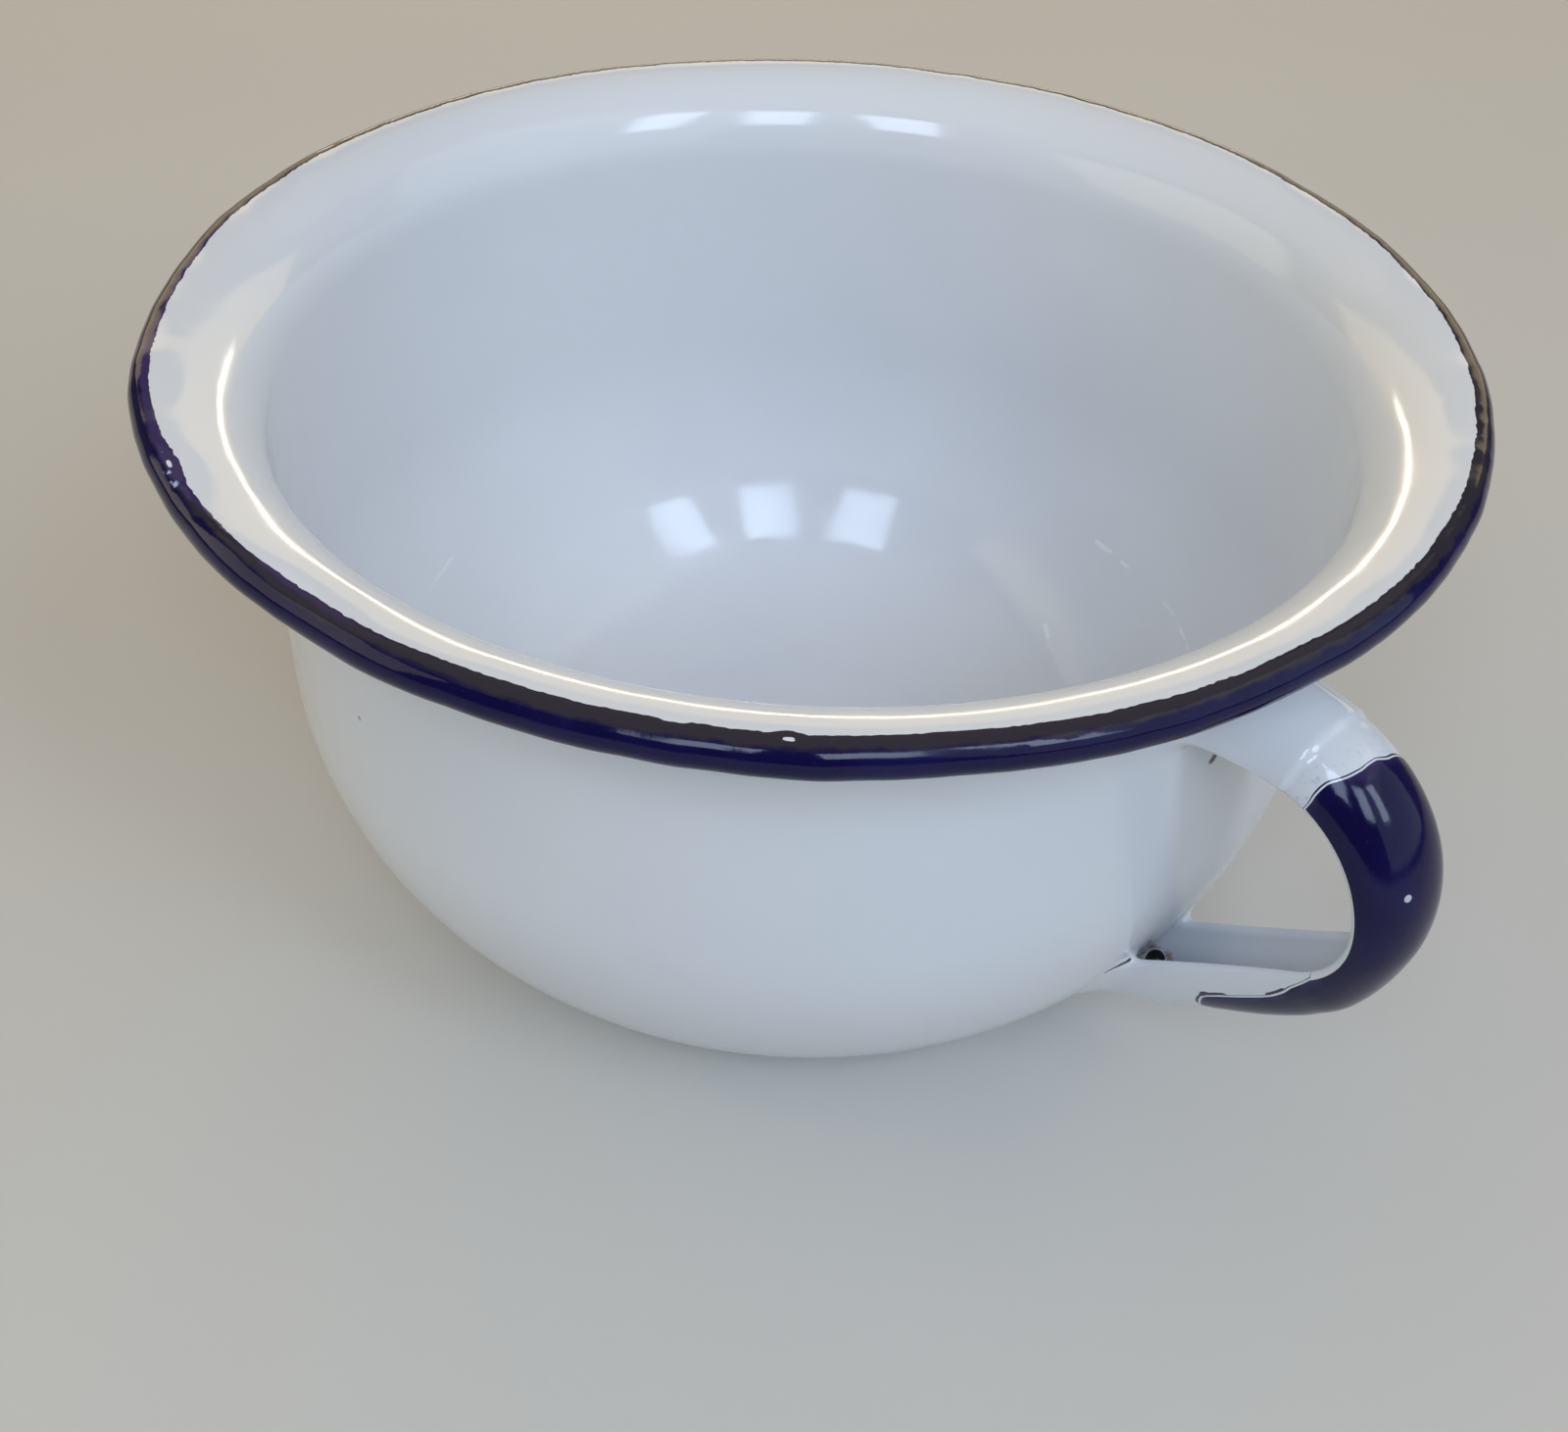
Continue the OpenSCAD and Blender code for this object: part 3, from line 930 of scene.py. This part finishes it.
def skin(inset):
    """The strap's skin at a depth, as one grid of rows from the top landing to the foot landing."""
    begin, top_rows = landing(*top_span, inset, top_flare)
    stop, foot_rows = landing(*foot_span, inset, foot_flare)
    blue_on, blue_off = grip_start(section_angle), grip_stop(section_angle)
    arm = strap_rows(begin, blue_on, arm_rows, inset)
    grip = strap_rows(blue_on, blue_off, grip_rows, inset)
    tail = strap_rows(blue_off, stop, tail_rows, inset)
    return np.concatenate([top_rows[::-1][:-1], arm, grip[1:], tail[1:], foot_rows[1:]])


def blue_edge():
    """Points close together along both edges of the blue."""
    share = np.linspace(0, 1, 24, endpoint=False)[:, None, None]
    edges = []
    for edge in (grip_start, grip_stop):
        line = strap_point(edge(back_angle), back_angle, np.zeros(back_count), 0.0)
        edges.append((line[:-1] + (line[1:] - line[:-1]) * share).reshape(-1, 3))
    return np.concatenate(edges)


def gap_to_edge(points):
    """How far each point lies from the nearest edge of the blue."""
    edge = blue_edge()
    tree = KDTree(len(edge))
    for number, spot in enumerate(edge):
        tree.insert(spot, number)
    tree.balance()
    return np.array([tree.find(point)[2] for point in points.reshape(-1, 3)]).reshape(points.shape[:-1])


outer_skin = skin(0.0)
inner_skin = skin(coat)
blue_gap = gap_to_edge(outer_skin)
far_away = 100.0
blue_gap[blue_row : blue_row + grip_rows] = 0.0
blue_gap[:, section_share > 0.5] = far_away
print(f"strap skin: {len(outer_skin)} rows, outermost at x = {outer_skin[..., 0].max():.1f} mm")

# %% [markdown]
# ## The drain hole
#
# In the floor of the lower arm is a small oval hole, which lets the enamel slip run out before
# firing. It goes through all the layers, so a Boolean with a cylinder drills each of them. The steel
# is drilled much narrower, so a wide ring of dark steel fills most of the hole: painted shade for the dark
# seen through it.
# Rust has started there, and an attribute holds how near each point is to it.

# %% The drill
# The hole's radius in the enamel and in the steel, how oval it is, how far its rust spreads and how long
# the drill is. Then its place: the distance along the path and the angle round the section.
# The steel's small radius leaves dark steel across most of the hole, as painted shade for the dark seen
# through it.
drain_r, drain_steel_r, drain_oval = 1.8, 0.5, 1.45
rust_spread, drill_length = 4.0, 8.0
drain_s, drain_angle = loop_length + 44.0, math.radians(51.0)
drain_middle, drain_facing = path(np.array(drain_s))
drain_way = drain_facing * math.sin(drain_angle) + np.array([0.0, math.cos(drain_angle), 0.0])
drain_mouth = strap_point(np.array(drain_s), np.array(drain_angle), np.array(0.5), 0.0)
drain_along = path(np.array(drain_s + 1.0))[0] - drain_middle
from_drain = outer_skin - drain_mouth
lengthways = (from_drain @ drain_along)[..., None] * drain_along
from_drain = from_drain - lengthways * (1 - 1 / drain_oval)
rust = np.clip(1.0 - (np.linalg.norm(from_drain, axis=-1) - drain_r) / rust_spread, 0.0, 1.0)
print("drain hole at", np.round(drain_mouth, 1), "mm")


def drill(piece, radius):
    cutter = bpy.data.meshes.new("drill")
    shape = bmesh.new()
    along = Vector(drain_along)
    turn = Matrix((along * drain_oval, Vector(drain_way).cross(along), Vector(drain_way))).transposed()
    place = Matrix.Translation(Vector(drain_mouth) * MM) @ turn.to_4x4()
    sizes = {"radius1": radius * MM, "radius2": radius * MM, "depth": drill_length * MM}
    bmesh.ops.create_cone(shape, cap_ends=True, segments=40, matrix=place, **sizes)
    shape.to_mesh(cutter)
    shape.free()
    tool = bpy.data.objects.new("drill", cutter)
    bpy.context.scene.collection.objects.link(tool)
    cut = piece.modifiers.new("drill", "BOOLEAN")
    cut.operation, cut.solver, cut.object = "DIFFERENCE", "EXACT", tool
    graph = bpy.context.evaluated_depsgraph_get()
    bored = bpy.data.meshes.new_from_object(piece.evaluated_get(graph), depsgraph=graph)
    piece.modifiers.remove(cut)
    piece.data = bored
    bpy.data.objects.remove(tool)
    bpy.data.meshes.remove(cutter)


# %% The handle's pieces
def handle_coat(name, first, last, node):
    rows = slice(first, last + 1)
    values = {"blue_gap": blue_gap[rows], "rust": rust[rows]}
    piece = skin_mesh(name, outer_skin[rows], inner_skin[rows], white_handle, True, values)
    if first > 0:
        drill(piece, drain_r)
    hand_over(piece, node)


handle_coat("handle_top_coat", 0, blue_row, "handle_top_enamel")
handle_coat("handle_foot_coat", blue_row, len(outer_skin) - 1, "handle_foot_enamel")

# %% The blue grip
# The coat's thickness, and how far it bites into the white, in mm. Its ends thin out to a share of it.
grip_thick, grip_bite = 0.10, 0.005
end_share, end_slope = 0.35, 60
grip_mesh_rows = 97
grip_angle = section_angle[1 : back_count - 1]
grip_share = np.linspace(0, 1, grip_mesh_rows)[:, None]
grip_s = grip_start(grip_angle) + (grip_stop(grip_angle) - grip_start(grip_angle)) * grip_share
grip_turn = np.broadcast_to(grip_angle, grip_s.shape)
back_side = np.zeros_like(grip_s)
feather = np.clip(np.minimum(grip_share, 1 - grip_share) * end_slope, end_share, 1.0) * grip_thick
grip_out = strap_point(grip_s, grip_turn, back_side, -np.broadcast_to(feather, grip_s.shape))
grip_in = strap_point(grip_s, grip_turn, back_side, np.full_like(grip_s, grip_bite))
grip_values = {"blue_gap": gap_to_edge(grip_out)}
grip = skin_mesh("grip_coat", grip_out, grip_in, blue_enamel, False, grip_values)
hand_over(grip, "grip_enamel")

# %% The steel strap inside
def strap_core(core):
    """One solid strap: rings of faces down its length, and a face over each end."""
    rows, ring = core.shape[:2]
    faces = []
    for i in range(rows - 1):
        for j in range(ring):
            a, b = i * ring + j, i * ring + (j + 1) % ring
            faces.append((a, b, b + ring, a + ring))
    faces.append(tuple(range(ring))[::-1])
    faces.append(tuple(range((rows - 1) * ring, rows * ring)))
    mesh = bpy.data.meshes.new("handle_strap")
    mesh.from_pydata((core.reshape(-1, 3) * MM).tolist(), [], faces)
    mesh.materials.append(bare_steel)
    mesh.shade_smooth()
    piece = bpy.data.objects.new("handle_strap", mesh)
    bpy.context.scene.collection.objects.link(piece)
    drill(piece, drain_steel_r)
    hand_over(piece, "handle_steel")


strap_core(inner_skin[1:-1])

# %% [markdown]
# ## Weld nuggets
#
# Under each side of a foot, a lens of melted and frozen metal holds it to the bowl. The nuggets keep
# the places that they have in the CAD model and lie below the enamel, so a whole pot doesn't show them.

# %% The nuggets
# Half of a nugget's section: distance from its middle, and height above the bowl's steel, in mm.
nugget_line = np.array([
    (0.0, -0.42), (0.7, -0.38), (1.2, -0.22), (1.5, 0.0),
    (1.2, 0.13), (0.7, 0.21), (0.0, 0.24),
])
nugget_segments = 48
for end in ("top", "low"):
    for side in ("left", "right"):
        node = f"{end}_weld_{side}"
        middle = np.mean([np.array(corner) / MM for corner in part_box(node)], axis=0)
        gap, look = face_gap(middle)
        seat = Vector(middle - (gap + coat) * look) * MM
        place = Matrix.Translation(seat) @ Vector(look).to_track_quat("Z", "Y").to_matrix().to_4x4()
        name = f"nugget_{end}_{side}"
        turned_piece(name, nugget_line, weld_metal, node, nugget_segments, place=place)

# %% [markdown]
# ## Floor, lamps and camera
#
# The pot stands on a plain pale floor under soft light. Glossy enamel mostly shows what surrounds it,
# so the lamps are placed for their reflections. Three tall ones stand side by side behind the camera,
# like the panes of a window, and give the small bright squares on the lip, in the bowl and on the
# grip. A broad one overhead and three others round the pot fill in, cool on the right and warm
# elsewhere. A long thin one low on the far side draws the bright line along the front of the lip.

# %% The floor and the light all round
PAPER = (0.58, 0.565, 0.535, 1.0)
PAPER_PALE = (0.62, 0.605, 0.575, 1.0)
floor_half = 6.0


def pale_floor():
    mesh = bpy.data.meshes.new("floor")
    corners = [(x * floor_half, y * floor_half, 0.0) for x, y in ((-1, -1), (1, -1), (1, 1), (-1, 1))]
    mesh.from_pydata(corners, [], [(0, 1, 2, 3)])
    floor = bpy.data.objects.new("floor", mesh)
    bpy.context.scene.collection.objects.link(floor)
    finish = Finish("floor_paper")
    mottle = finish.noise(finish.place, 3.0, 3.0)
    colour = finish.mix(mottle, PAPER, PAPER_PALE)
    paper = finish.surface({"Base Color": colour, "Roughness": 0.75, "Specular IOR Level": 0.2})
    mesh.materials.append(paper)


pale_floor()
world = bpy.data.worlds.new("room")
bpy.context.scene.world = world
world.use_nodes = True
sky = world.node_tree.nodes["Background"]
sky.inputs["Color"].default_value = (1.0, 0.90, 0.74, 1.0)
sky.inputs["Strength"].default_value = 0.10

# %% Lamps
window_light = (0.64, 0.79, 1.0)
# Each lamp: its angle round the pot and above the floor in degrees, its distance, width and height in
# metres, its power in watts and its colour.
lamps = {
    "left_pane": (-2.0, 42.0, 1.6, 0.30, 0.62, 4.5, window_light),
    "middle_pane": (-31.0, 42.0, 1.6, 0.34, 0.62, 5.1, window_light),
    "right_pane": (-62.0, 42.0, 1.6, 0.36, 0.62, 5.4, window_light),
    "overhead": (136.0, 82.0, 2.2, 4.0, 4.0, 17.0, (1.0, 0.80, 0.60)),
    "near_right": (20.0, 32.0, 2.4, 3.6, 2.6, 21.0, (0.84, 0.94, 1.0)),
    "near_left": (-130.0, 25.0, 2.4, 2.4, 1.6, 14.5, (1.0, 0.90, 0.62)),
    "far_side": (138.0, 17.0, 2.4, 4.6, 1.1, 21.0, (1.0, 0.80, 0.48)),
    "low_far_line": (138.0, 10.0, 1.8, 1.3, 0.12, 3.2, (1.0, 0.93, 0.80)),
}
lamps_aim = Vector((0.0, 0.0, 0.08))


def soft_lamp(name, azimuth, elevation, distance, width, tall, power, colour):
    lamp = bpy.data.lights.new(name, "AREA")
    lamp.shape, lamp.size, lamp.size_y = "RECTANGLE", width, tall
    lamp.energy, lamp.color = power, colour
    holder = bpy.data.objects.new(name, lamp)
    bpy.context.scene.collection.objects.link(holder)
    turn, lift = math.radians(azimuth), math.radians(elevation)
    way = Vector((math.cos(lift) * math.cos(turn), math.cos(lift) * math.sin(turn), math.sin(lift)))
    holder.location = lamps_aim + way * distance
    holder.rotation_euler = way.to_track_quat("Z", "Y").to_euler()


for name, values in lamps.items():
    soft_lamp(name, *values)
print(len(lamps), "lamps")

# %% The camera
# The lens and the picture's width in pixels, the eye's distance and height in mm, how the eye looks in
# radians, and how far round the pot it stands. They were fitted so that the rim's oval agrees.
lens_px, picture_w = 1900.0, 1600.0
stand_off, eye_z = 301.55, 290.76
pitch, yaw, roll = 0.715, -0.009, -0.051
round_pot = Matrix.Rotation(math.radians(46.0), 3, "Z")

ahead = Vector((math.sin(yaw) * math.cos(pitch), math.cos(yaw) * math.cos(pitch), -math.sin(pitch)))
level_right = Vector((math.cos(yaw), -math.sin(yaw), 0.0))
level_down = ahead.cross(level_right)
right = math.cos(roll) * level_right + math.sin(roll) * level_down
down = math.cos(roll) * level_down - math.sin(roll) * level_right
turned = Matrix((round_pot @ right, round_pot @ -down, round_pot @ -ahead)).transposed()

lens = bpy.data.cameras.new("camera")
lens.sensor_fit, lens.sensor_width = "HORIZONTAL", 36.0
lens.lens = lens.sensor_width * lens_px / picture_w
lens.clip_start = 0.01
camera = bpy.data.objects.new("camera", lens)
bpy.context.scene.collection.objects.link(camera)
eye = round_pot @ Vector((0, -stand_off, eye_z)) * MM
camera.matrix_world = Matrix.Translation(eye) @ turned.to_4x4()
bpy.context.scene.camera = camera
bpy.context.scene.view_settings.view_transform = "Standard"
print("camera at", [round(c, 3) for c in eye], "with a lens of", round(lens.lens, 2), "mm")
